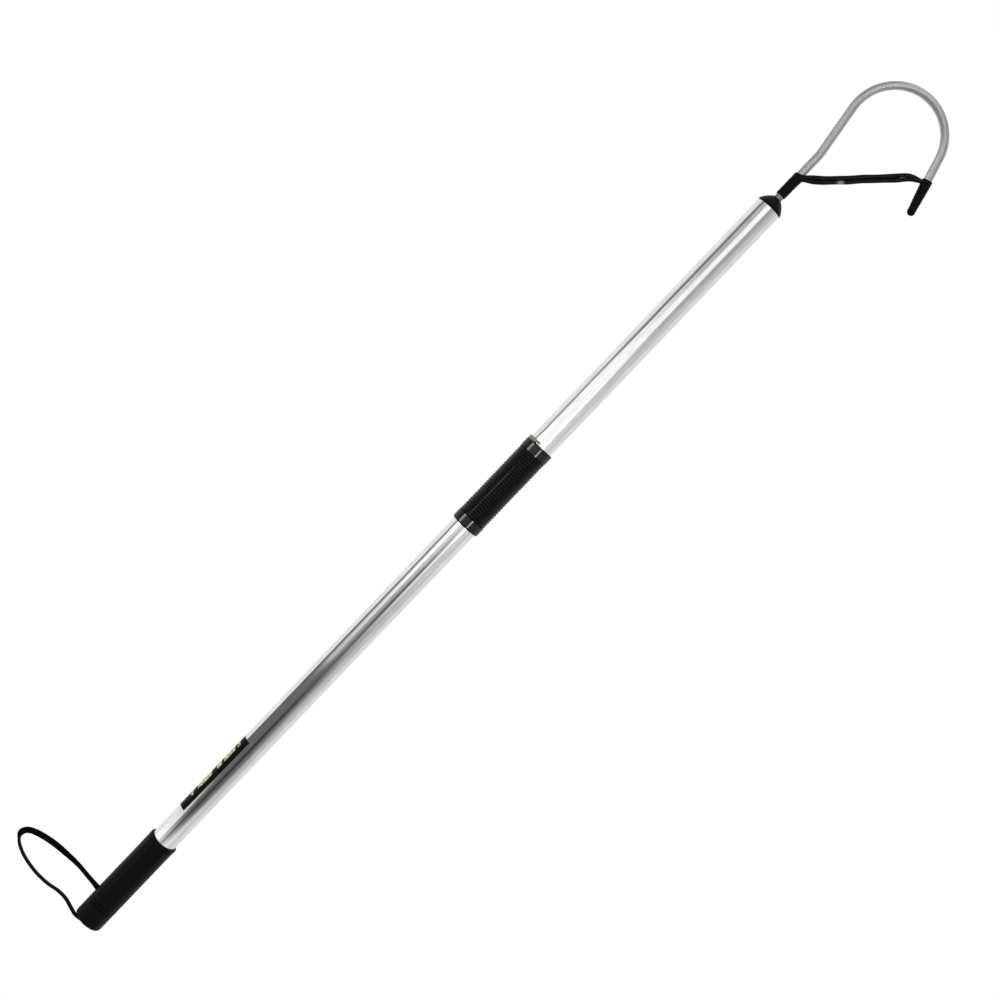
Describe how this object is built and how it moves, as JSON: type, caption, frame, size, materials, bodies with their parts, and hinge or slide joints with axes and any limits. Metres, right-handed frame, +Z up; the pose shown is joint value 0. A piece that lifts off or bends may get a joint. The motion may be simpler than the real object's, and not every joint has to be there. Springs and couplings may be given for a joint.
{
  "type": "landing gaff",
  "caption": "One-piece boat gaff: a plain tube with two rubber grips, a cord wrist loop at the butt and a large wire hook whose point wears a tethered sheath.",
  "frame": {"origin": "centre of the butt's end face, on the pole's axis", "axes": "+X along the pole from the butt to the hook, -Y the side the hook's mouth opens to, +Z up with the gaff lying on its side"},
  "size_m": [1.099, 0.2061, 0.0305],
  "materials": {
    "polished_aluminium": "polished, drawn tube",
    "grip_rubber": "satin black rubber",
    "adhesive": "cured contact glue",
    "foam": "closed-cell foam",
    "cord": "flat woven cord",
    "label_foil": null,
    "nose_plastic": "moulded black plastic",
    "hook_steel": "satin stainless wire",
    "fastener_steel": "stainless",
    "sleeve_rubber": "soft black rubber",
    "elastic": "glossy black elastic cord"
  },
  "bodies": {
    "pole": {"main_tube": "polished_aluminium", "butt_cap": "grip_rubber", "butt_grip": "grip_rubber", "butt_grip_adhesive": "adhesive", "butt_bulkhead": "foam", "cord_inner_ends": "cord", "cord_knot": "cord", "label": "label_foil", "mid_grip": "grip_rubber", "mid_grip_adhesive": "adhesive", "nose_plug": "nose_plastic", "nose_seal": "grip_rubber", "hook": "hook_steel", "expander_bush": "grip_rubber", "shank_washers": "fastener_steel", "shank_nuts": "fastener_steel", "shank_sleeve": "sleeve_rubber", "tether": "elastic"},
    "wrist_loop": {"wrist_cord": "cord"},
    "point_guard": {"tip_guard": "sleeve_rubber"}
  },
  "joints": [
    {"name": "wrist_loop_swing", "type": "hinge", "parent": "pole", "child": "wrist_loop", "pos_m": [0.014, 0.0164, 0.003], "axis": [1, 0, 0], "range_deg": [-35, 110]},
    {"name": "tip_guard_slide", "type": "slide", "parent": "pole", "child": "point_guard", "axis": [-0.9591, -0.2832, 0], "range_m": [0, 0.045]}
  ]
}
